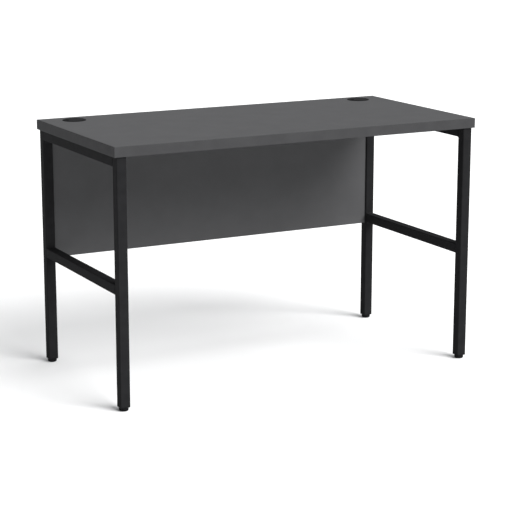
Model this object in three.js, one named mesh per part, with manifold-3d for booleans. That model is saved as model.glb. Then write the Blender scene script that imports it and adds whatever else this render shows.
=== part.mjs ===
// Straight office desk: a laminated top on two welded square-tube side frames, with a modesty panel
// between the rear uprights, two cable ports and four levelling feet.
// Millimetres. +X is to the right, +Y to the rear and +Z up.
// The origin is on the floor, under the middle of the top.
import * as THREE from 'three';
import { mergeVertices } from 'three/addons/utils/BufferGeometryUtils.js';
import Module from 'manifold-3d';

// Top
const DESK_WIDTH = 1200;
const DESK_DEPTH = 600;
const DESK_HEIGHT = 765;
const TOP_THICKNESS = 30;
const TOP_BAND = 2;
const BAND_ROUNDING = 1.5;

// Side frames
const TUBE = 30;
const TUBE_WALL = 1.5;
const TUBE_CORNER = 3;
const FRAME_SIDE_INSET = 8;
const FRAME_FRONT_INSET = 5;
const FRAME_REAR_INSET = 2;
const CROSSBAR_BOTTOM = 338.5;
const WELD_RADIUS = 9;

// Modesty panel
const PANEL_THICKNESS = 18;
const PANEL_BOTTOM = 336;
const PANEL_BAND = 1;
const PANEL_END_GAP = 0.5;
const CAM_HEIGHTS = { lower: 400, upper: 671 };
const CAM_FROM_END = 34;
const CAM_RADIUS = 7.25;
const CAM_LENGTH = 12.5;
const DOWEL_RADIUS = 3.5;
const DOWEL_BORE_RADIUS = 4;
const RIVET_NUT_RADIUS = 4.4;
const RIVET_CLEARANCE = 0.2;

// Feet
const PAD_RADIUS = 14;
const PAD_SOLE_RADIUS = 9.5;
const PAD_HEIGHT = 11;
const PAD_ROUNDING = 4.5;
const STUD_RADIUS = 4;
const STUD_LENGTH = 40;
const STUD_SEAT = 4;
const THREAD_CLEARANCE = 0.15;
const PLUG_FLANGE = 2;
const PLUG_LENGTH = 22;

// Cable ports
const PORT_FROM_SIDE = 96.5;
const PORT_FROM_REAR = 67;
const PORT_BORE_RADIUS = 30;
const LINER_WALL = 3;
const LINER_LENGTH = 20;
const FLANGE_RADIUS = 36;
const FLANGE_HEIGHT = 2.25;
const SEAT_THICKNESS = 0.25;
const CAP_RADIUS = 28.25;
const CAP_THICKNESS = 1.5;
const CAP_SKIRT_DEPTH = 9;
const NOTCH_WIDTH = 14;
const NOTCH_INNER_RADIUS = 16;

// Screws that hold the top
const SCREW_STATIONS = { front: -190, middle: 0, rear: 190 };
const SCREW_RADIUS = 2.25;
const SCREW_HEAD_RADIUS = 4.75;
const SCREW_HEAD_HEIGHT = 3.25;
const SCREW_LENGTH = 22;
const SCREW_CLEARANCE = 0.5;
const SCREW_ACCESS_RADIUS = 6.5;

// Gap between pieces that touch, and the number of flats on round pieces
const GAP = 0.25;
const ROUND = 24;
const SMALL_ROUND = 12;
const CORNER_STEPS = 3;

// Levels and places worked out from the driving dimensions
const topUnderside = DESK_HEIGHT - TOP_THICKNESS;
const tubeTop = topUnderside - GAP;
const tubeBottom = PAD_HEIGHT + GAP + PLUG_FLANGE + GAP;
const uprightX = DESK_WIDTH / 2 - FRAME_SIDE_INSET - TUBE / 2;
const uprightY = {
  front: -DESK_DEPTH / 2 + FRAME_FRONT_INSET + TUBE / 2,
  rear: DESK_DEPTH / 2 - FRAME_REAR_INSET - TUBE / 2,
};
const railStart = uprightY.front + TUBE / 2 + GAP;
const railEnd = uprightY.rear - TUBE / 2 - GAP;
const railLength = railEnd - railStart;
const railMiddle = (railStart + railEnd) / 2;
const panelEnd = uprightX - TUBE / 2 - PANEL_END_GAP;
const panelY = uprightY.rear;
const panelTop = topUnderside - GAP;
const camX = panelEnd - CAM_FROM_END;
const portX = DESK_WIDTH / 2 - PORT_FROM_SIDE;
const portY = DESK_DEPTH / 2 - PORT_FROM_REAR;
const SIDES = { left: -1, right: 1 };

const finish = (color, roughness, metalness = 0) => (
  new THREE.MeshStandardMaterial({ color, roughness, metalness }));
const laminate = finish(0x626262, 0.55);
const edging = finish(0x585858, 0.5);
const powderCoat = finish(0x1b1b1c, 0.5, 0.2);
const blackPlastic = finish(0x1d1d1e, 0.45);
const zincSteel = finish(0xa9abad, 0.35, 1);

const wasm = await Module();
wasm.setup();
const desk = new THREE.Group();

// A closed geometry as a solid that can be joined and cut.
function toSolid(geometry) {
  const bare = geometry.clone();
  bare.deleteAttribute('normal');
  bare.deleteAttribute('uv');
  const merged = mergeVertices(bare, 1e-4);
  return new wasm.Manifold(new wasm.Mesh({
    numProp: 3,
    vertProperties: new Float32Array(merged.attributes.position.array),
    triVerts: new Uint32Array(merged.index.array),
  }));
}

function toGeometry(solid) {
  const mesh = solid.getMesh();
  const geometry = new THREE.BufferGeometry();
  geometry.setAttribute('position', new THREE.BufferAttribute(mesh.vertProperties, 3));
  geometry.setIndex(new THREE.BufferAttribute(mesh.triVerts, 1));
  geometry.computeVertexNormals();
  return geometry;
}

function cut(geometry, cutters) {
  let solid = toSolid(geometry);
  for (const cutter of cutters) {
    solid = solid.subtract(toSolid(cutter));
  }
  return toGeometry(solid);
}

function join(geometry, additions) {
  let solid = toSolid(geometry);
  for (const addition of additions) {
    solid = solid.add(toSolid(addition));
  }
  return toGeometry(solid);
}

function addPiece(name, geometry, material, x = 0, y = 0, z = 0) {
  const piece = new THREE.Mesh(geometry, material);
  piece.name = name;
  piece.position.set(x, y, z);
  desk.add(piece);
  return piece;
}

// A block by its lowest and highest corners.
function block(low, high) {
  const size = high.map((value, axis) => value - low[axis]);
  const geometry = new THREE.BoxGeometry(...size);
  return geometry.translate(...low.map((value, axis) => value + size[axis] / 2));
}

// A round bar standing on z = 0 along +Z.
function bar(radius, length, flats = SMALL_ROUND) {
  const geometry = new THREE.CylinderGeometry(radius, radius, length, flats);
  return geometry.rotateX(Math.PI / 2).translate(0, 0, length / 2);
}

// A profile of [radius, height] points turned about the Z axis.
function turned(profile, flats = ROUND) {
  const points = profile.map(([radius, height]) => new THREE.Vector2(radius, height));
  return new THREE.LatheGeometry(points, flats).rotateX(Math.PI / 2);
}

// A quarter circle as [radius, height] points about a centre, from one angle to another.
function arcPoints(centreRadius, centreHeight, radius, from, to, steps) {
  return Array.from({ length: steps + 1 }, (_, step) => {
    const angle = from + (to - from) * step / steps;
    return [centreRadius + radius * Math.cos(angle), centreHeight + radius * Math.sin(angle)];
  });
}

// A rectangle with rounded corners, centred on the origin.
function roundedOutline(width, height, radius, Outline = THREE.Shape) {
  const x = width / 2 - radius;
  const y = height / 2 - radius;
  const outline = new Outline();
  outline.absarc(x, y, radius, 0, Math.PI / 2);
  outline.absarc(-x, y, radius, Math.PI / 2, Math.PI);
  outline.absarc(-x, -y, radius, Math.PI, 1.5 * Math.PI);
  outline.absarc(x, -y, radius, 1.5 * Math.PI, 2 * Math.PI);
  outline.closePath();
  return outline;
}

function extrude(outline, length, curveSegments = CORNER_STEPS) {
  return new THREE.ExtrudeGeometry(outline, { depth: length, bevelEnabled: false, curveSegments });
}

// Square tube with rounded corners, open at both ends, standing on z = 0.
function squareTube(length) {
  const outline = roundedOutline(TUBE, TUBE, TUBE_CORNER);
  const bore = TUBE - 2 * TUBE_WALL;
  outline.holes.push(roundedOutline(bore, bore, TUBE_CORNER - TUBE_WALL, THREE.Path));
  return extrude(outline, length);
}

// Square tube along +Y, centred on its axis and starting at y = 0.
function lyingTube(length) {
  return squareTube(length).rotateX(-Math.PI / 2);
}

// Edge band along +X: its outer face is towards -Y and has both long arrises rounded.
function topBand(length) {
  const band = new THREE.Shape();
  band.moveTo(0, 0);
  band.absarc(BAND_ROUNDING - TOP_BAND, BAND_ROUNDING, BAND_ROUNDING, 1.5 * Math.PI, Math.PI, true);
  band.absarc(
    BAND_ROUNDING - TOP_BAND, TOP_THICKNESS - BAND_ROUNDING, BAND_ROUNDING, Math.PI, Math.PI / 2, true);
  band.lineTo(0, TOP_THICKNESS);
  band.closePath();
  return extrude(band, length).rotateX(Math.PI / 2).rotateZ(Math.PI / 2).translate(-length / 2, 0, 0);
}

// The bead in the corner under the rail's end: a wedge with a hollow face, towards +Y and -Z.
function cornerWeld() {
  const overlap = TUBE_WALL / 2;
  const wedge = new THREE.Shape();
  wedge.moveTo(0, overlap);
  wedge.lineTo(0, -WELD_RADIUS);
  wedge.absarc(WELD_RADIUS, -WELD_RADIUS, WELD_RADIUS, Math.PI, Math.PI / 2, true);
  wedge.lineTo(WELD_RADIUS, overlap);
  wedge.closePath();
  const width = TUBE - 2 * TUBE_CORNER;
  const bead = extrude(wedge, width, 2 * CORNER_STEPS).translate(0, 0, -width / 2);
  return bead.rotateY(Math.PI / 2).rotateX(Math.PI / 2);
}

function addTop() {
  const inset = TOP_BAND + GAP;
  const x = DESK_WIDTH / 2 - inset;
  const y = DESK_DEPTH / 2 - inset;
  const board = block([-x, -y, 0], [x, y, TOP_THICKNESS]);
  const cutters = [];
  for (const sign of Object.values(SIDES)) {
    cutters.push(bar(PORT_BORE_RADIUS, TOP_THICKNESS + 2, ROUND).translate(sign * portX, portY, -1));
    for (const station of Object.values(SCREW_STATIONS)) {
      const pilot = bar(SCREW_RADIUS + SCREW_CLEARANCE, SCREW_LENGTH + 1);
      cutters.push(pilot.translate(sign * uprightX, railMiddle + station, -1));
    }
  }
  addPiece('desktop_board', cut(board, cutters), laminate, 0, 0, topUnderside);
  addPiece('desktop_edge_front', topBand(DESK_WIDTH), edging, 0, -y - GAP, topUnderside);
  const rear = addPiece('desktop_edge_rear', topBand(DESK_WIDTH), edging, 0, y + GAP, topUnderside);
  rear.rotation.z = Math.PI;
  const left = addPiece('desktop_edge_left', topBand(2 * y), edging, -x - GAP, 0, topUnderside);
  left.rotation.z = -Math.PI / 2;
  const right = addPiece('desktop_edge_right', topBand(2 * y), edging, x + GAP, 0, topUnderside);
  right.rotation.z = Math.PI / 2;
}

// A bore along +X from the given x, for the panel's dowels and the nuts in the uprights.
function sideBore(radius, from, to, z) {
  const bore = bar(radius, to - from).rotateY(Math.PI / 2);
  return bore.translate(from, 0, z);
}

function addPanel() {
  const x = panelEnd - PANEL_BAND - GAP;
  const bottom = PANEL_BOTTOM + PANEL_BAND + GAP;
  const half = PANEL_THICKNESS / 2;
  const camBoreStart = half - CAM_LENGTH - 2 * GAP;
  const cutters = [];
  for (const height of Object.values(CAM_HEIGHTS)) {
    for (const sign of Object.values(SIDES)) {
      const camBore = bar(CAM_RADIUS + GAP, CAM_LENGTH + 4 * GAP).rotateX(-Math.PI / 2);
      cutters.push(camBore.translate(sign * camX, camBoreStart, height));
    }
    cutters.push(sideBore(DOWEL_BORE_RADIUS, camX, panelEnd, height));
    cutters.push(sideBore(DOWEL_BORE_RADIUS, -panelEnd, -camX, height));
  }
  const board = block([-x, -half, bottom], [x, half, panelTop]);
  addPiece('modesty_board', cut(board, cutters), laminate, 0, panelY, 0);
  const lowerBand = block([-panelEnd, -half, PANEL_BOTTOM], [panelEnd, half, bottom - GAP]);
  addPiece('modesty_edge_bottom', lowerBand, edging, 0, panelY, 0);
  for (const [side, sign] of Object.entries(SIDES)) {
    const band = block([-PANEL_BAND / 2, -half, bottom], [PANEL_BAND / 2, half, panelTop]);
    const bores = Object.values(CAM_HEIGHTS).map(
      (height) => sideBore(DOWEL_BORE_RADIUS, -PANEL_BAND, PANEL_BAND, height));
    const bandX = sign * (panelEnd - PANEL_BAND / 2);
    addPiece(`modesty_edge_${side}`, cut(band, bores), edging, bandX, panelY, 0);
  }
}

// Cam lock along +Y: a drum with a pocket for the dowel's head and a cross slot in its rear face.
function camLock() {
  const drum = bar(CAM_RADIUS, CAM_LENGTH).rotateX(-Math.PI / 2);
  const dowelDepth = CAM_LENGTH + GAP - PANEL_THICKNESS / 2;
  const pocketHalf = DOWEL_RADIUS + 2 * GAP;
  const pocketInner = -5;
  const pocket = block(
    [pocketInner, dowelDepth - pocketHalf, -pocketHalf],
    [CAM_RADIUS + 1, dowelDepth + pocketHalf, pocketHalf]);
  const slotHalf = 0.75;
  const slotReach = 4.5;
  const slotFloor = CAM_LENGTH - 1.5;
  const slots = [
    block([-slotReach, slotFloor, -slotHalf], [slotReach, CAM_LENGTH + 1, slotHalf]),
    block([-slotHalf, slotFloor, -slotReach], [slotHalf, CAM_LENGTH + 1, slotReach]),
  ];
  return cut(drum, [pocket, ...slots]);
}

// Cam dowel along +X: head in the cam, neck, shank in the panel's end and thread in the rivet nut.
function camDowel() {
  const neckRadius = 2.5;
  const threadRadius = 3;
  const headLength = 3;
  const neckEnd = 8;
  const shankEnd = CAM_FROM_END + PANEL_END_GAP - GAP;
  const threadEnd = shankEnd + 10;
  const profile = [
    [0, -1], [DOWEL_RADIUS, -1], [DOWEL_RADIUS, headLength - 1], [neckRadius, headLength],
    [neckRadius, neckEnd], [DOWEL_RADIUS, neckEnd + 1], [DOWEL_RADIUS, shankEnd],
    [threadRadius, shankEnd], [threadRadius, threadEnd], [0, threadEnd],
  ];
  return turned(profile, SMALL_ROUND).rotateY(Math.PI / 2);
}

// Rivet nut along +X: a plain threaded sleeve.
function rivetNut() {
  const outer = RIVET_NUT_RADIUS;
  const bore = 3.2;
  const length = 12;
  const profile = [[bore, 0], [outer, 0], [outer, length], [bore, length], [bore, 0]];
  return turned(profile, SMALL_ROUND).rotateY(Math.PI / 2);
}

function addPanelFixings() {
  const innerWall = uprightX - TUBE / 2;
  for (const [side, sign] of Object.entries(SIDES)) {
    const turn = sign > 0 ? 0 : Math.PI;
    for (const [level, height] of Object.entries(CAM_HEIGHTS)) {
      const camStart = panelY + PANEL_THICKNESS / 2 - CAM_LENGTH - GAP;
      const lock = camLock();
      if (sign < 0) {
        lock.rotateY(Math.PI);
      }
      addPiece(`${side}_${level}_cam_lock`, lock, zincSteel, sign * camX, camStart, height);
      const dowel = camDowel().rotateZ(turn);
      addPiece(`${side}_${level}_cam_dowel`, dowel, zincSteel, sign * camX, panelY, height);
      const nut = rivetNut().rotateZ(turn);
      addPiece(`${side}_${level}_rivet_nut`, nut, zincSteel, sign * innerWall, panelY, height);
    }
  }
}

// Pan-head screw along +Z with a hexagon socket; z = 0 is the top of the head.
function topScrew() {
  const socketDepth = 2;
  const socketRadius = 2.2;
  const socket = bar(socketRadius, socketDepth + 1, 6).translate(0, 0, -SCREW_HEAD_HEIGHT - 1);
  const body = turned([
    [0, -SCREW_HEAD_HEIGHT], [SCREW_HEAD_RADIUS - 1, -SCREW_HEAD_HEIGHT],
    [SCREW_HEAD_RADIUS, -SCREW_HEAD_HEIGHT + 1], [SCREW_HEAD_RADIUS, 0],
    [SCREW_RADIUS, 0], [SCREW_RADIUS, SCREW_LENGTH - 3], [0, SCREW_LENGTH],
  ], SMALL_ROUND);
  return cut(body, [socket]);
}

function addFrame(side, sign) {
  const x = sign * uprightX;
  for (const end of ['front', 'rear']) {
    let upright = squareTube(tubeTop - tubeBottom);
    if (end === 'rear') {
      const radius = RIVET_NUT_RADIUS + RIVET_CLEARANCE;
      const bores = Object.values(CAM_HEIGHTS).map((height) => {
        const bore = sideBore(radius, TUBE / 2 - 2 * TUBE_WALL, TUBE / 2 + 1, height - tubeBottom);
        return sign > 0 ? bore.rotateZ(Math.PI) : bore;
      });
      upright = cut(upright, bores);
    }
    addPiece(`${side}_${end}_upright`, upright, powderCoat, x, uprightY[end], tubeBottom);
  }
  const half = TUBE / 2;
  const welds = [
    cornerWeld().translate(0, 0, -half),
    cornerWeld().rotateZ(Math.PI).translate(0, railLength, -half),
  ];
  const screwHoles = Object.values(SCREW_STATIONS).flatMap((station) => {
    const y = railLength / 2 + station;
    const hole = bar(SCREW_RADIUS + SCREW_CLEARANCE, 2 * TUBE_WALL);
    const access = bar(SCREW_ACCESS_RADIUS, 3 * TUBE_WALL);
    return [hole.translate(0, y, half - 2 * TUBE_WALL), access.translate(0, y, -half - TUBE_WALL)];
  });
  const rail = cut(join(lyingTube(railLength), welds), screwHoles);
  addPiece(`${side}_top_rail`, rail, powderCoat, x, railStart, tubeTop - half);
  addPiece(`${side}_crossbar`, lyingTube(railLength), powderCoat, x, railStart, CROSSBAR_BOTTOM + half);
  for (const [station, y] of Object.entries(SCREW_STATIONS)) {
    const seat = tubeTop - TUBE_WALL - GAP;
    addPiece(`${side}_${station}_top_screw`, topScrew(), zincSteel, x, railMiddle + y, seat);
  }
}

// Tube plug on z = 0: a flange the size of the tube, a square spigot in the tube and the stud's hole.
function tubePlug() {
  const spigot = TUBE - 2 * TUBE_WALL - 2 * GAP;
  const flange = extrude(roundedOutline(TUBE, TUBE, TUBE_CORNER), PLUG_FLANGE);
  const stem = extrude(roundedOutline(spigot, spigot, 1), PLUG_FLANGE + PLUG_LENGTH);
  const thread = bar(STUD_RADIUS + THREAD_CLEARANCE, PLUG_FLANGE + PLUG_LENGTH + 2).translate(0, 0, -1);
  return cut(join(flange, [stem]), [thread]);
}

// Foot pad on z = 0: a flat sole, a rounded edge and a blind seat for the stud.
function footPad() {
  const reach = PAD_RADIUS - PAD_SOLE_RADIUS;
  const crown = 0.5;
  return turned([
    [0, 0], [PAD_SOLE_RADIUS, 0],
    ...arcPoints(PAD_SOLE_RADIUS, PAD_ROUNDING, reach, -Math.PI / 2, 0, CORNER_STEPS).slice(1),
    [PAD_RADIUS, PAD_HEIGHT - crown], [PAD_RADIUS - crown, PAD_HEIGHT],
    [STUD_RADIUS + GAP, PAD_HEIGHT], [STUD_RADIUS + GAP, STUD_SEAT], [0, STUD_SEAT],
  ]);
}

// M8 stud on z = 0 with a chamfered end.
function footStud() {
  const chamfer = 1;
  return turned([
    [0, 0], [STUD_RADIUS, 0], [STUD_RADIUS, STUD_LENGTH - chamfer],
    [STUD_RADIUS - chamfer, STUD_LENGTH], [0, STUD_LENGTH],
  ], SMALL_ROUND);
}

function addFoot(end, side, sign) {
  const corner = `${end}_${side}`;
  const x = sign * uprightX;
  const y = uprightY[end];
  addPiece(`${corner}_tube_plug`, tubePlug(), blackPlastic, x, y, PAD_HEIGHT + GAP);
  addPiece(`${corner}_foot_stud`, footStud(), zincSteel, x, y, STUD_SEAT + GAP);
  addPiece(`${corner}_foot_pad`, footPad(), blackPlastic, x, y, 0);
}

// Port liner, z = 0 at the top's surface: sleeve in the bore, broad raised flange and the cap's seat.
function portLiner() {
  const outer = PORT_BORE_RADIUS - GAP;
  const inner = outer - LINER_WALL;
  const base = GAP;
  const seat = base + SEAT_THICKNESS;
  const rimInner = CAP_RADIUS + 2 * GAP;
  const rimTop = base + FLANGE_HEIGHT;
  const rounding = 1.5;
  return turned([
    [inner, -LINER_LENGTH], [outer, -LINER_LENGTH], [outer, base], [FLANGE_RADIUS, base],
    ...arcPoints(FLANGE_RADIUS - rounding, rimTop - rounding, rounding, 0, Math.PI / 2, CORNER_STEPS),
    [rimInner, rimTop], [rimInner, seat], [inner, seat], [inner, -LINER_LENGTH],
  ]);
}

// Port cap, z = 0 at its underside: a disc with a skirt below and a notch through both at -X.
function portCap() {
  const skirtOuter = PORT_BORE_RADIUS - LINER_WALL - 2 * GAP;
  const skirtInner = skirtOuter - 1.5;
  const crown = 0.5;
  const body = turned([
    [0, 0], [skirtInner, 0], [skirtInner, -CAP_SKIRT_DEPTH], [skirtOuter, -CAP_SKIRT_DEPTH],
    [skirtOuter, 0], [CAP_RADIUS, 0], [CAP_RADIUS, CAP_THICKNESS - crown],
    [CAP_RADIUS - crown, CAP_THICKNESS], [0, CAP_THICKNESS],
  ]);
  const half = NOTCH_WIDTH / 2;
  const depth = CAP_SKIRT_DEPTH + CAP_THICKNESS;
  const notch = join(
    block(
      [-CAP_RADIUS - 1, -half, -CAP_SKIRT_DEPTH - 1],
      [-NOTCH_INNER_RADIUS - half, half, CAP_THICKNESS + 1]),
    [bar(half, depth + 2, ROUND).translate(-NOTCH_INNER_RADIUS - half, 0, -CAP_SKIRT_DEPTH - 1)]);
  return cut(body, [notch]);
}

function addPort(side, sign) {
  const x = sign * portX;
  addPiece(`${side}_port_liner`, portLiner(), blackPlastic, x, portY, DESK_HEIGHT);
  const capBase = DESK_HEIGHT + GAP + SEAT_THICKNESS + GAP;
  addPiece(`${side}_port_cap`, portCap(), blackPlastic, x, portY, capBase);
}

addTop();
addPanel();
addPanelFixings();
for (const [side, sign] of Object.entries(SIDES)) {
  addFrame(side, sign);
  addFoot('front', side, sign);
  addFoot('rear', side, sign);
  addPort(side, sign);
}

export default desk;
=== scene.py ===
"""Looks for a straight office desk: laminated top, black tube frames, modesty panel, ports and feet.

Metres, +X right, +Y to the rear, +Z up, with the origin on the floor under the middle of the top.
"""
import math

import bpy
import numpy as np
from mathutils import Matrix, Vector


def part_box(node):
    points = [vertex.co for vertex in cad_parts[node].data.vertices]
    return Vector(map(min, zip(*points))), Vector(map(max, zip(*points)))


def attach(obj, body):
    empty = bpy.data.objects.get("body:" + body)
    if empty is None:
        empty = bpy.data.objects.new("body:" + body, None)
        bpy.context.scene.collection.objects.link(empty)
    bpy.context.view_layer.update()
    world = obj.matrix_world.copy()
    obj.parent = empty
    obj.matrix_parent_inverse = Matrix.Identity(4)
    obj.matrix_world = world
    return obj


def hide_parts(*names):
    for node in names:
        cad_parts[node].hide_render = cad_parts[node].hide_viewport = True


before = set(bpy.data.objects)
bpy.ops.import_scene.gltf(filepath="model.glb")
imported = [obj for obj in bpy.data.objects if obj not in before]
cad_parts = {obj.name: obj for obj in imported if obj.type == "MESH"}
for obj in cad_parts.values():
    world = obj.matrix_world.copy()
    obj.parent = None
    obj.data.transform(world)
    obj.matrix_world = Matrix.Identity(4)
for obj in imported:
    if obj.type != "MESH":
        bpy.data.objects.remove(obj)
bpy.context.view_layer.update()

MM = 0.001
TURN = 2 * math.pi
SIDES = ("left", "right")
ENDS = ("front", "rear")
LEVELS = ("lower", "upper")
STATIONS = ("front", "middle", "rear")

# How far a point stands in from a flat's edge, to keep the flat's shading flat
HOLD = 0.3 * MM

# Edge bands: the arris outside, the most of a band's thickness it may take, and the arris at the board
BAND_ARRIS = 1.5 * MM
BAND_ARRIS_SHARE = 0.7
BAND_BACK_ARRIS = 0.2 * MM

# Square tube, and the eased edge of a sawn end and of a ground butt weld
TUBE_CORNER = 3.0 * MM
TUBE_WALL = 1.5 * MM
TUBE_BURR = 0.25 * MM
BUTT_BURR = 0.02 * MM

# Fillet welds: legs, how far the face sinks as a share of the leg (a bead stands proud), and the ripple
RAIL_WELD = 9.36 * MM
RAIL_WELD_HOLLOW = 0.35
CROSSBAR_WELD = 3.64 * MM
CROSSBAR_WELD_HOLLOW = -0.2
WELD_PITCH = 2.5 * MM
WELD_RIPPLE = 0.04
# The weld stops short of the tube's corner by this share of it, and its ellipse just short of nothing.
# Its root lies behind the corner by a share of the leg.
WELD_CLEARANCE = 0.6
WELD_END = 0.985
WELD_ROOT = -0.02

# Foot pads; a flute starts at a share of the rounding and fades over a share of the height
PAD_SOLE = 9.5 * MM
PAD_ROUNDING = 4.5 * MM
PAD_CROWN = 0.8 * MM
PAD_FLUTES = 20
PAD_FLUTE_DEPTH = 0.045
PAD_FLUTE_START = 0.4
PAD_FLUTE_FADE = 0.2
PAD_SIDE_ROWS = 14

# Foot studs, M8; the thread runs out over the last turns at each end, and the pad has a seat for it
STUD_HOLE = 4.25 * MM
STUD_SEAT = 4.0 * MM
STUD_CHAMFER = 1.0 * MM
THREAD_PITCH = 1.25 * MM
THREAD_DEPTH = 0.65 * MM
THREAD_PLAIN_TURNS = 0.6
THREAD_ROWS = 8

# Port liners: the sleeve in the bore, and the flange's dome, fall and rim, all above the board's face
SLEEVE_OUTER = 29.75 * MM
SLEEVE_INNER = 26.75 * MM
SLEEVE_CHAMFER = 0.5 * MM
RIM_INNER = 28.75 * MM
RIM_HEIGHT = 2.25 * MM
RIM_ROUNDING = 0.4 * MM
RIM_FLAT = 2.0 * MM
FALL_BREADTH = 3.5 * MM
FALL = 0.1 * MM
DOME_BELOW_RIM = 0.45 * MM
DOME_BREADTH_TO_HEIGHT = 1.4
SEAT_HEIGHT = 0.25 * MM

# Port caps: disc, skirt and cable notch
CAP_THICKNESS = 1.5 * MM
CAP_EDGE = 0.5 * MM
SKIRT_OUTER = 26.5 * MM
SKIRT_INNER = 25.0 * MM
NOTCH_HALF = 7.0 * MM
NOTCH_END = 16.0 * MM
NOTCH_MOUTH = 1.5 * MM

# Where noise is taken to start and end, as it seldom leaves its middle: for colour, and for grain
DRIFT_RANGE = (0.35, 0.65)
GRAIN_RANGE = (0.3, 0.7)
DRIFT_DETAIL = 3.0
GRAIN_DETAIL = 2.0

# Studio
FLOOR_COLOUR = "#f0f0f0"
FLOOR_HALF = 40.0
WORLD_COLOUR = "#f4f6f8"
WORLD_STRENGTH = 0.32

# Camera: where it stands, how far it is turned to the right of +Y and how far it looks down
CAMERA_PLACE = (-2.3945, -4.5305, 1.5064)
CAMERA_YAW = math.radians(27.84)
CAMERA_PITCH = math.radians(12.88)
CAMERA_LENS = 118.7
CAMERA_SENSOR = 36.0
CAMERA_REACH = 100.0


# ---------------------------------------------------------------- meshes

def build(name, points, faces, sharp_degrees=35):
    """A mesh object from an (n, 3) array of points and a list of faces, smooth but for its sharp edges."""
    mesh = bpy.data.meshes.new(name)
    mesh.from_pydata(points.reshape(-1, 3).tolist(), [], faces)
    mesh.validate()
    mesh.polygons.foreach_set("use_smooth", np.ones(len(mesh.polygons), bool))
    mesh.set_sharp_from_angle(angle=math.radians(sharp_degrees))
    piece = bpy.data.objects.new(name, mesh)
    bpy.context.scene.collection.objects.link(piece)
    return piece


def grid_faces(rows, columns, wrap_rows):
    """Quads of a grid whose columns always close on themselves and whose rows do if wrap_rows."""
    row = np.arange(rows if wrap_rows else rows - 1)[:, None]
    column = np.arange(columns)[None, :]
    next_row = (row + 1) % rows
    next_column = (column + 1) % columns
    corners = [
        row * columns + column,
        row * columns + next_column,
        next_row * columns + next_column,
        next_row * columns + column,
    ]
    return np.stack(corners, -1).reshape(-1, 4).tolist()


def loft(name, sections, closed=False):
    """A skin over sections, an (m, n, 3) array: each section is a loop of n points.

    closed joins the last section to the first, as in a tube's wall. Otherwise both ends get a flat cap.
    """
    rows, columns = sections.shape[:2]
    faces = grid_faces(rows, columns, closed)
    if not closed:
        faces.append(list(range(columns))[::-1])
        faces.append(list(range((rows - 1) * columns, rows * columns)))
    return build(name, sections, faces)


def turned(name, profile, centre, steps=96, swell=None):
    """A profile of (radius, height) points turned about a vertical axis through centre.

    Point = centre + (r cos a, r sin a, h), with r multiplied by swell(a, h) where that is given.
    A profile that starts and ends at radius 0 loses those two points, and gets a flat cap at each end.
    Any other closes on itself.
    """
    radius, height = np.array(profile, float).T
    angle = np.arange(steps) * TURN / steps
    on_axis = radius[0] == 0 and radius[-1] == 0
    if on_axis:
        radius, height = radius[1:-1], height[1:-1]
    factor = np.ones((len(radius), steps)) if swell is None else swell(angle[None, :], height[:, None])
    reach = radius[:, None] * factor
    rise = np.broadcast_to(height[:, None], reach.shape)
    points = np.stack([reach * np.cos(angle), reach * np.sin(angle), rise], -1)
    return loft(name, points + np.array(centre, float), closed=not on_axis)


def arc(centre, radius, start, end, steps):
    """Points on a circle about a (u, v) centre, from one angle to another in degrees, both included."""
    angle = np.radians(np.linspace(start, end, steps + 1))
    return np.stack([centre[0] + radius * np.cos(angle), centre[1] + radius * np.sin(angle)], -1)


def quarter_turn(steps):
    """Angles in radians from 0 to 90 degrees, both included."""
    return np.radians(np.linspace(0, 90, steps + 1))


def rounded_square(width, height, corner, steps=6):
    """Loop of (u, v) points round a rectangle: a quarter circle at each corner, anticlockwise.

    A point a little way along each flat from its corners keeps the flat's shading flat.
    """
    u, v = width / 2 - corner, height / 2 - corner
    quarters = [((u, v), 0), ((-u, v), 90), ((-u, -v), 180), ((u, -v), 270)]
    loop = []
    for centre, start in quarters:
        curve = arc(centre, corner, start, start + 90, steps)
        ahead = np.radians(start + 180)
        behind = np.radians(start - 90)
        before = curve[0] + HOLD * np.array([np.cos(behind), np.sin(behind)])
        after = curve[-1] + HOLD * np.array([np.cos(ahead), np.sin(ahead)])
        loop += [before[None], curve, after[None]]
    return np.concatenate(loop)


def place(loop, along, axis):
    """A (u, v) loop set square to axis at the distance along, as xyz, with u x v pointing along axis."""
    flat = np.full(len(loop), along)
    u, v = loop.T
    return np.stack({"x": [flat, u, v], "y": [v, flat, u], "z": [u, v, flat]}[axis], -1)


# ---------------------------------------------------------------- materials

def linear(hex_colour):
    """An sRGB hex colour such as '#6b6b6b' as linear RGBA: ((c + 0.055) / 1.055) ** 2.4 above the toe."""
    channels = [int(hex_colour[i:i + 2], 16) / 255 for i in (1, 3, 5)]
    return tuple(c / 12.92 if c <= 0.04045 else ((c + 0.055) / 1.055) ** 2.4 for c in channels) + (1.0,)


def add(tree, kind, settings=None, **links):
    """Adds a node with its settings, and links its inputs from the given sockets, both by input name."""
    node = tree.nodes.new("ShaderNode" + kind)
    for key, value in (settings or {}).items():
        node.inputs[key].default_value = value
    for key, socket in links.items():
        tree.links.new(socket, node.inputs[key])
    return node


def surface(name, shader):
    """A new material, its tree and its shader, with the constant settings on the shader's own sockets."""
    material = bpy.data.materials.new(name)
    material.use_nodes = True
    tree = material.node_tree
    bsdf = tree.nodes["Principled BSDF"]
    for key, value in shader.items():
        bsdf.inputs[key].default_value = value
    return material, tree, bsdf


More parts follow.
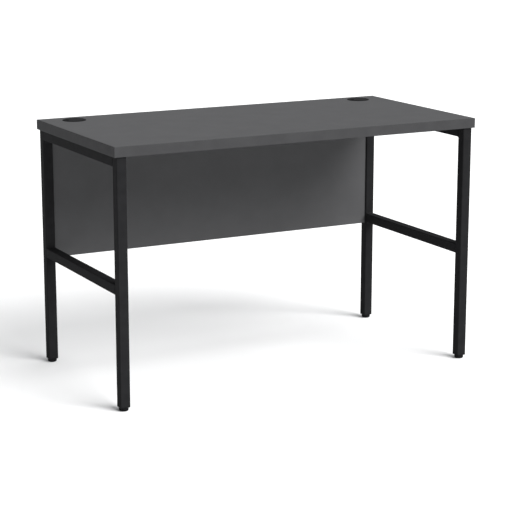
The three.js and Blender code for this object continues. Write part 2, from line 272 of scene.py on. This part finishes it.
def mottled(name, shader, colours, drift, grain, roughness, relief, strength):
    """A finish whose colour drifts between two over lumps of one size, with a finer grain over it.

    Noise of size drift -> ramp -> colour. Noise of size grain, which stays near its middle, is spread
    out to the range of roughness, and raises the surface by up to relief. All of it in object space.
    """
    material, tree, bsdf = surface(name, shader)
    place_on = add(tree, "TexCoord").outputs["Object"]
    lumps = add(tree, "TexNoise", {"Scale": 1 / drift, "Detail": DRIFT_DETAIL}, Vector=place_on)
    ramp = add(tree, "ValToRGB", Fac=lumps.outputs["Fac"])
    for element, position, colour in zip(ramp.color_ramp.elements, DRIFT_RANGE, colours):
        element.position = position
        element.color = linear(colour)
    tree.links.new(ramp.outputs["Color"], bsdf.inputs["Base Color"])
    fine = add(tree, "TexNoise", {"Scale": 1 / grain, "Detail": GRAIN_DETAIL}, Vector=place_on)
    taken = {"From Min": GRAIN_RANGE[0], "From Max": GRAIN_RANGE[1]}
    given = {"To Min": roughness[0], "To Max": roughness[1]}
    gloss = add(tree, "MapRange", taken | given, Value=fine.outputs["Fac"])
    tree.links.new(gloss.outputs["Result"], bsdf.inputs["Roughness"])
    bump = add(tree, "Bump", {"Distance": relief, "Strength": strength}, Height=fine.outputs["Fac"])
    tree.links.new(bump.outputs["Normal"], bsdf.inputs["Normal"])
    return material


def graphite_melamine():
    """Melamine-faced chipboard, pressed against a finely embossed plate: an even grey with a low sheen.

    The real emboss is 0.3 mm; it is drawn at 1.5 mm so that it shows. The paper's print varies over 60 mm.
    """
    return mottled(
        "graphite_melamine", {"IOR": 1.5, "Specular IOR Level": 0.03}, ("#4d4d4e", "#4f4f50"),
        drift=60 * MM, grain=1.5 * MM, roughness=(0.48, 0.58), relief=0.12 * MM, strength=0.6)


def graphite_edging_painted_shade():
    """Extruded ABS edge band, 2 mm, scraped flush: smoother than the melamine, and darker than it as
    painted shade on the top's edges, which get less light than its face.
    """
    return mottled(
        "graphite_edging_painted_shade", {"IOR": 1.53, "Specular IOR Level": 0.01}, ("#3c3c3d", "#3f3f40"),
        drift=40 * MM, grain=1.2 * MM, roughness=(0.42, 0.5), relief=0.08 * MM, strength=0.5)


def black_powder_coat():
    """Polyester powder baked on steel: black with a satin orange peel of lumps about 1.5 mm across."""
    return mottled(
        "black_powder_coat", {"IOR": 1.5, "Specular IOR Level": 0.006}, ("#1f1f20", "#222223"),
        drift=25 * MM, grain=1.5 * MM, roughness=(0.44, 0.54), relief=0.2 * MM, strength=0.7)


def black_polypropylene():
    """Injection-moulded polypropylene from a spark-eroded tool: black, soft sheen, texture 0.8 mm."""
    return mottled(
        "black_polypropylene", {"IOR": 1.49, "Specular IOR Level": 0.03}, ("#161617", "#1a1a1b"),
        drift=15 * MM, grain=0.8 * MM, roughness=(0.4, 0.52), relief=0.1 * MM, strength=0.6)


def bright_zinc():
    """Zinc plate on drawn steel: a pale bluish metal, slightly cloudy over 4 mm."""
    return mottled(
        "bright_zinc", {"Metallic": 1.0}, ("#a9adb1", "#c3c6c8"),
        drift=4 * MM, grain=1.0 * MM, roughness=(0.28, 0.42), relief=0.02 * MM, strength=0.3)


def pale_floor():
    """Matt white studio floor."""
    shader = {"Base Color": linear(FLOOR_COLOUR), "Roughness": 0.9, "Specular IOR Level": 0.0}
    return surface("pale_floor", shader)[0]


# ---------------------------------------------------------------- studio

def set_camera():
    """The camera, with neither shift nor depth of field."""
    data = bpy.data.cameras.new("camera")
    data.lens = CAMERA_LENS
    data.sensor_width = CAMERA_SENSOR
    data.clip_end = CAMERA_REACH
    camera = bpy.data.objects.new("camera", data)
    camera.location = CAMERA_PLACE
    camera.rotation_euler = (math.radians(90) - CAMERA_PITCH, 0, -CAMERA_YAW)
    bpy.context.scene.collection.objects.link(camera)
    bpy.context.scene.camera = camera


def sun(name, azimuth, elevation, spread, strength):
    """A very soft distant light, in degrees: azimuth 0 is in front of the desk and 90 to its right."""
    turn, rise = math.radians(azimuth), math.radians(elevation)
    towards = Vector((math.sin(turn) * math.cos(rise), -math.cos(turn) * math.cos(rise), math.sin(rise)))
    data = bpy.data.lights.new(name, "SUN")
    data.angle = math.radians(spread)
    data.energy = strength
    light = bpy.data.objects.new(name, data)
    light.rotation_euler = towards.to_track_quat("Z", "Y").to_euler()
    bpy.context.scene.collection.objects.link(light)


def set_studio():
    """A white floor and a pale world under two soft suns, with colours shown as they are."""
    scene = bpy.context.scene
    scene.view_settings.view_transform = "Standard"
    world = bpy.data.worlds.new("studio")
    world.use_nodes = True
    background = world.node_tree.nodes["Background"]
    background.inputs["Color"].default_value = linear(WORLD_COLOUR)
    background.inputs["Strength"].default_value = WORLD_STRENGTH
    scene.world = world
    sun("overhead", azimuth=75, elevation=68, spread=44, strength=1.1)
    sun("key", azimuth=22, elevation=40, spread=44, strength=4.6)
    corners = FLOOR_HALF * np.array([[-1, -1, 0], [1, -1, 0], [1, 1, 0], [-1, 1, 0]])
    floor = build("floor", corners, [[0, 1, 2, 3]])
    floor.data.materials.append(pale_floor())


# ---------------------------------------------------------------- pieces

def corners_of(node):
    """The lowest and highest corners of a CAD node, as arrays that can be changed."""
    low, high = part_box(node)
    return np.array(low), np.array(high)


def round_node(node):
    """The radius of an upright round CAD node, the middle of its lower end and its height."""
    low, high = corners_of(node)
    middle = (low + high) / 2
    return (high[0] - low[0]) / 2, (middle[0], middle[1], low[2]), high[2] - low[2]


def keep(node, material):
    """A CAD node that stays, with the given material in its slot."""
    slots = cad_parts[node].data.materials
    slots.clear()
    slots.append(material)


def add_finish(piece, material, body):
    """Gives a new piece its material and the body it rides on."""
    piece.data.materials.append(material)
    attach(piece, body)


def stand_for(piece, material, body, node):
    """Finishes a new piece that stands for a CAD node."""
    add_finish(piece, material, body)
    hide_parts(node)


def band_section(depth, height, arris):
    """Loop of (outward, up) points round an edge band: large arrises outside, small ones at the board."""
    back = BAND_BACK_ARRIS
    return np.concatenate([
        [[depth - arris - HOLD, 0]],
        arc((depth - arris, arris), arris, -90, 0, steps=6),
        [[depth, arris + HOLD], [depth, height - arris - HOLD]],
        arc((depth - arris, height - arris), arris, 0, 90, steps=6),
        [[depth - arris - HOLD, height]],
        arc((back, height - back), back, 90, 180, steps=2),
        arc((back, back), back, 180, 270, steps=2),
    ])


def edge_band(node, along, outward, material):
    """An edge band in the space of its CAD node: a straight strip whose outer face is eased at its ends.

    It runs along axis 0 or 1, and its outer face looks along the other, in the direction of outward.
    Along the strip the section stays the same. Over the last arris at each end the outer face draws in
    on a quarter circle: depth = full - r (1 - cos t) at the distance r (1 - sin t) from the end.
    """
    low, high = corners_of(node)
    across = 1 - along
    length, depth, height = high[along] - low[along], high[across] - low[across], high[2] - low[2]
    ease = min(BAND_ARRIS, depth / 2)
    angle = quarter_turn(6)[::-1]
    near = np.append(ease * (1 - np.sin(angle)), ease + HOLD)
    drawn_in = np.append(ease * (1 - np.cos(angle)), 0)
    stations = np.concatenate([near, length - near[::-1]])
    depths = depth - np.concatenate([drawn_in, drawn_in[::-1]])
    back = low[across] if outward > 0 else high[across]
    rows = []
    for station, reach in zip(stations, depths):
        loop = band_section(reach, height, min(BAND_ARRIS, reach * BAND_ARRIS_SHARE))
        row = np.empty((len(loop), 3))
        row[:, along] = low[along] + station
        row[:, across] = back + outward * loop[:, 0]
        row[:, 2] = low[2] + loop[:, 1]
        rows.append(row)
    turn_round = (along == 0) != (outward > 0)
    piece = loft(node.replace("edge", "edge_band"), np.array(rows[::-1] if turn_round else rows))
    stand_for(piece, material, "desk", node)


def make_top(melamine, edging):
    """The bored board stays as it is, inside four new edge bands."""
    keep("desktop_board", melamine)
    edge_band("desktop_edge_front", 0, -1, edging)
    edge_band("desktop_edge_rear", 0, 1, edging)
    edge_band("desktop_edge_left", 1, -1, edging)
    edge_band("desktop_edge_right", 1, 1, edging)


def make_panel(melamine, edging, zinc):
    """The panel between the rear uprights stays as it is, and so do its edge bands and fixings."""
    keep("modesty_board", melamine)
    for edge in ("bottom", "left", "right"):
        keep("modesty_edge_" + edge, edging)
    for side in SIDES:
        for level in LEVELS:
            for fixing in ("cam_lock", "cam_dowel", "rivet_nut"):
                keep(f"{side}_{level}_{fixing}", zinc)


def square_tube(name, low, high, axis, burr=TUBE_BURR):
    """Square tube with rounded corners from low to high, open at both ends.

    The loop runs out along the outside and back along the bore, so the wall is one closed skin.
    """
    number = "xyz".index(axis)
    first, second = {"x": (1, 2), "y": (2, 0), "z": (0, 1)}[axis]
    width, height = (high - low)[[first, second]]
    outside = rounded_square(width, height, TUBE_CORNER)
    eased = rounded_square(width - 2 * burr, height - 2 * burr, TUBE_CORNER - burr)
    bore = rounded_square(width - 2 * TUBE_WALL, height - 2 * TUBE_WALL, TUBE_CORNER - TUBE_WALL)
    start, end = low[number], high[number]
    rows = [
        place(eased, start, axis), place(outside, start + burr, axis),
        place(outside, end - burr, axis), place(eased, end, axis),
        place(bore, end, axis), place(bore, start, axis),
    ]
    offset = (low + high) / 2
    offset[number] = 0
    return loft(name, np.array(rows) + offset, closed=True)


def weld_fillet(name, corner, along_y, along_z, half_width, leg, hollow):
    """A weld across the tube's width, in the inside corner at (x, y, z), with legs along +-Y and +-Z.

    Its section is a triangle whose long side is an arc, sunk by hollow times the leg or raised where that
    is negative. The legs shrink on an ellipse towards both ends, and swell along the weld in ripples:
    leg = full (1 - t^6)^(1/2) (1 + ripple |sin(pi x / pitch)|), with t from -1 to 1.
    """
    t = np.linspace(-1, 1, 97) * WELD_END
    ripple = 1 + WELD_RIPPLE * np.abs(np.sin(np.pi * t * half_width / WELD_PITCH))
    size = leg * np.sqrt(1 - t ** 6) * ripple
    share = np.linspace(0, 1, 9)
    bow = 2 * hollow * share * (1 - share)
    face = np.stack([(1 - share) * (1 - bow), share * (1 - bow)], -1)
    section = np.concatenate([[[WELD_ROOT, WELD_ROOT]], face])
    points = np.empty((len(t), len(section), 3))
    points[:, :, 0] = corner[0] + half_width * t[:, None]
    points[:, :, 1] = corner[1] + along_y * size[:, None] * section[None, :, 0]
    points[:, :, 2] = corner[2] + along_z * size[:, None] * section[None, :, 1]
    if along_y * along_z < 0:
        points = points[::-1]
    return loft(name, points)


def frame_tube(node, low, high, axis, coat):
    """A hollow tube that stands for a frame's CAD node."""
    tube = square_tube(node + "_tube", low, high, axis)
    stand_for(tube, coat, "desk", node)


def butt_welds(side, faces, low, high, coat):
    """Ground welds between the uprights' faces and the ends of the top rail (low to high)."""
    for end, start, stop in (("front", faces[0], low[1]), ("rear", high[1], faces[1])):
        ring_low = np.array([low[0], start, low[2]])
        ring_high = np.array([high[0], stop, high[2]])
        ring = square_tube(f"{side}_{end}_butt_weld", ring_low, ring_high, "y", burr=BUTT_BURR)
        add_finish(ring, coat, "desk")


def fillet_welds(side, faces, low, high, rail_bottom, coat):
    """At both ends: beads over and under the crossbar (low to high), and a fillet under the top rail."""
    middle = (low[0] + high[0]) / 2
    half = (high[0] - low[0]) / 2 - TUBE_CORNER * WELD_CLEARANCE
    joints = (
        ("upper", high[2], 1, CROSSBAR_WELD, CROSSBAR_WELD_HOLLOW),
        ("lower", low[2], -1, CROSSBAR_WELD, CROSSBAR_WELD_HOLLOW),
        ("rail", rail_bottom, -1, RAIL_WELD, RAIL_WELD_HOLLOW),
    )
    for end, y, inward in (("front", faces[0], 1), ("rear", faces[1], -1)):
        for joint, z, upward, leg, hollow in joints:
            name = f"{side}_{end}_{joint}_weld"
            weld = weld_fillet(name, (middle, y, z), inward, upward, half, leg, hollow)
            add_finish(weld, coat, "desk")


def make_frames(coat, zinc):
    """Two side frames. The crossbar is drawn out to touch the uprights' inner faces, as if welded."""
    for side in SIDES:
        uprights = {}
        for end in ENDS:
            node = f"{side}_{end}_upright"
            uprights[end] = corners_of(node)
            frame_tube(node, *uprights[end], "z", coat)
        faces = uprights["front"][1][1], uprights["rear"][0][1]
        low, high = corners_of(side + "_crossbar")
        low[1], high[1] = faces
        frame_tube(side + "_crossbar", low, high, "y", coat)
        rail_low, rail_high = corners_of(side + "_top_rail")
        rail_low[2] = rail_high[2] - (high[2] - low[2])
        butt_welds(side, faces, rail_low, rail_high, coat)
        fillet_welds(side, faces, low, high, rail_low[2], coat)
        keep(side + "_top_rail", coat)
        for station in STATIONS:
            keep(f"{side}_{station}_top_screw", zinc)


def flutes(angle, height, low, high):
    """Grip flutes round a pad: shallow cosine waves, fading out over a fifth of the height at each end."""
    reach = np.clip((height - low) / (high - low), 0, 1)
    fade = np.clip(np.minimum(reach, 1 - reach) / PAD_FLUTE_FADE, 0, 1)
    return 1 - PAD_FLUTE_DEPTH * fade * (0.5 - 0.5 * np.cos(PAD_FLUTES * angle))


def make_pad(corner, plastic):
    """Foot pad: flat sole, rounded lower edge, fluted side, crowned top and the seat of its stud."""
    node = corner + "_foot_pad"
    radius, centre, top = round_node(node)
    side_heights = np.linspace(PAD_ROUNDING, top - PAD_CROWN, PAD_SIDE_ROWS)
    side = np.stack([np.full(PAD_SIDE_ROWS, radius), side_heights], -1)
    profile = np.concatenate([
        [[0, 0], [PAD_SOLE - HOLD, 0]],
        arc((radius - PAD_ROUNDING, PAD_ROUNDING), PAD_ROUNDING, -90, 0, steps=10),
        side[1:],
        arc((radius - PAD_CROWN, top - PAD_CROWN), PAD_CROWN, 0, 90, steps=5)[1:],
        [[STUD_HOLE, top], [STUD_HOLE, STUD_SEAT], [0, STUD_SEAT]],
    ])

    def grip(angle, height):
        return np.where(height < top, flutes(angle, height, PAD_ROUNDING * PAD_FLUTE_START, top), 1)

    pad = turned(node + "_moulding", profile, centre, steps=PAD_FLUTES * 12, swell=grip)
    stand_for(pad, plastic, corner + "_pad", node)


def make_stud(corner, zinc):
    """Threaded stud: the radius dips along a right-hand helix, and is full where the thread runs out.

    r = R - depth |2 f - 1|, where f is the fraction left of h / pitch - a / turn.
    """
    node = corner + "_foot_stud"
    radius, centre, length = round_node(node)
    levels = np.linspace(STUD_CHAMFER, length - STUD_CHAMFER, int(length / THREAD_PITCH * THREAD_ROWS))
    shank = np.stack([np.full(len(levels), radius), levels], -1)
    end = radius - STUD_CHAMFER
    profile = np.concatenate([[[0, 0], [end, 0]], shank, [[end, length], [0, length]]])

    def thread(angle, height):
        part = np.mod(height / THREAD_PITCH - angle / TURN, 1)
        turns_in = np.minimum(height, length - height) / THREAD_PITCH
        run = np.clip(turns_in - THREAD_PLAIN_TURNS, 0, 1)
        return 1 - THREAD_DEPTH / radius * np.abs(2 * part - 1) * run

    stud = turned(node + "_thread", profile, centre, steps=36, swell=thread)
    stand_for(stud, zinc, corner + "_stud", node)


def make_feet(plastic, zinc):
    """A tube plug, a stud and a pad at each corner."""
    for side in SIDES:
        for end in ENDS:
            corner = f"{end}_{side}"
            keep(corner + "_tube_plug", plastic)
            make_stud(corner, zinc)
            make_pad(corner, plastic)


def notched_disc(radius, steps=120):
    """Loop round a disc with a U-shaped notch at -X: rim, mouth, side, round end, side, mouth.

    The mouth is a small arc that meets the notch's side, and the loop runs anticlockwise.
    """
    mouth_v = NOTCH_HALF + NOTCH_MOUTH
    mouth_u = -math.sqrt((radius - NOTCH_MOUTH) ** 2 - mouth_v ** 2)
    turn_out = math.degrees(math.atan2(mouth_v, mouth_u))
    rim = arc((0, 0), radius, -turn_out, turn_out, steps)
    upper = arc((mouth_u, mouth_v), NOTCH_MOUTH, turn_out, 270, steps=6)
    end = arc((-NOTCH_END - NOTCH_HALF, 0), NOTCH_HALF, 90, -90, steps=24)
    lower = upper[::-1] * np.array([1, -1])
    return np.concatenate([rim, upper[1:], end, lower[:-1]])


def inset(loop, distance):
    """The loop moved inwards: each point goes left of the direction between its two neighbours."""
    along = np.roll(loop, -1, axis=0) - np.roll(loop, 1, axis=0)
    along /= np.linalg.norm(along, axis=1, keepdims=True)
    return loop + distance * np.stack([-along[:, 1], along[:, 0]], -1)


def raised(loop, height, centre):
    """A (u, v) loop laid flat at a height over a centre on the floor plan."""
    return np.column_stack([loop + np.array(centre), np.full(len(loop), height)])


def make_liner(side, plastic):
    """Port liner: a sleeve in the bore, a broad domed flange on the top and the cap's seat inside it.

    Heights count from the board's face. The dome is a quarter ellipse, and a slight fall leads to the rim.
    """
    node = side + "_port_liner"
    flange, foot, height = round_node(node)
    bottom = RIM_HEIGHT - height
    centre = (foot[0], foot[1], foot[2] - bottom)
    chamfer = SLEEVE_CHAMFER
    dome = RIM_HEIGHT - DOME_BELOW_RIM
    angle = quarter_turn(8)
    breadth = dome * DOME_BREADTH_TO_HEIGHT
    shoulder = np.stack([flange - breadth * (1 - np.cos(angle)), dome * np.sin(angle)], -1)
    profile = np.concatenate([
        [[SLEEVE_INNER, bottom + chamfer], [SLEEVE_INNER + chamfer, bottom]],
        [[SLEEVE_OUTER - chamfer, bottom], [SLEEVE_OUTER, bottom + chamfer]],
        [[SLEEVE_OUTER, 0], [flange, 0]],
        shoulder[1:],
        [[RIM_INNER + FALL_BREADTH, RIM_HEIGHT - FALL], [RIM_INNER + RIM_FLAT, RIM_HEIGHT]],
        arc((RIM_INNER + RIM_ROUNDING, RIM_HEIGHT - RIM_ROUNDING), RIM_ROUNDING, 90, 180, steps=4),
        [[RIM_INNER, SEAT_HEIGHT], [SLEEVE_INNER, SEAT_HEIGHT]],
    ])
    liner = turned(node + "_moulding", profile, centre, steps=144)
    stand_for(liner, plastic, "desk", node)


def make_cap(side, plastic):
    """Port cap: a notched disc with a rounded rim over a notched skirt that drops into the liner.

    The notch opens at -X, so the radius comes from the box's other side.
    """
    node = side + "_port_cap"
    low, high = corners_of(node)
    radius = (high[1] - low[1]) / 2
    middle = (high[0] - radius, (low[1] + high[1]) / 2)
    base, top = high[2] - CAP_THICKNESS, high[2]
    outline = notched_disc(radius)
    rows = [raised(outline, base, middle)]
    for angle in quarter_turn(5):
        drawn_in = CAP_EDGE * (1 - math.cos(angle))
        rows.append(raised(inset(outline, drawn_in), top - CAP_EDGE * (1 - math.sin(angle)), middle))
    rows.append(raised(inset(outline, CAP_EDGE + HOLD), top, middle))
    cap = loft(node + "_disc", np.array(rows))
    stand_for(cap, plastic, side + "_cap", node)
    opening = math.degrees(math.asin((NOTCH_HALF + NOTCH_MOUTH) / SKIRT_INNER))
    wall = np.concatenate([
        arc((0, 0), SKIRT_OUTER, opening - 180, 180 - opening, steps=96),
        arc((0, 0), SKIRT_INNER, 180 - opening, opening - 180, steps=96),
    ])
    skirt = loft(node + "_skirt", np.array([raised(wall, low[2], middle), raised(wall, base, middle)]))
    add_finish(skirt, plastic, side + "_cap")


def make_ports(plastic):
    """A liner and its cap on each side."""
    for side in SIDES:
        make_liner(side, plastic)
        make_cap(side, plastic)


set_camera()
set_studio()
melamine = graphite_melamine()
edging = graphite_edging_painted_shade()
coat = black_powder_coat()
plastic = black_polypropylene()
zinc = bright_zinc()
make_top(melamine, edging)
make_panel(melamine, edging, zinc)
make_frames(coat, zinc)
make_feet(plastic, zinc)
make_ports(plastic)
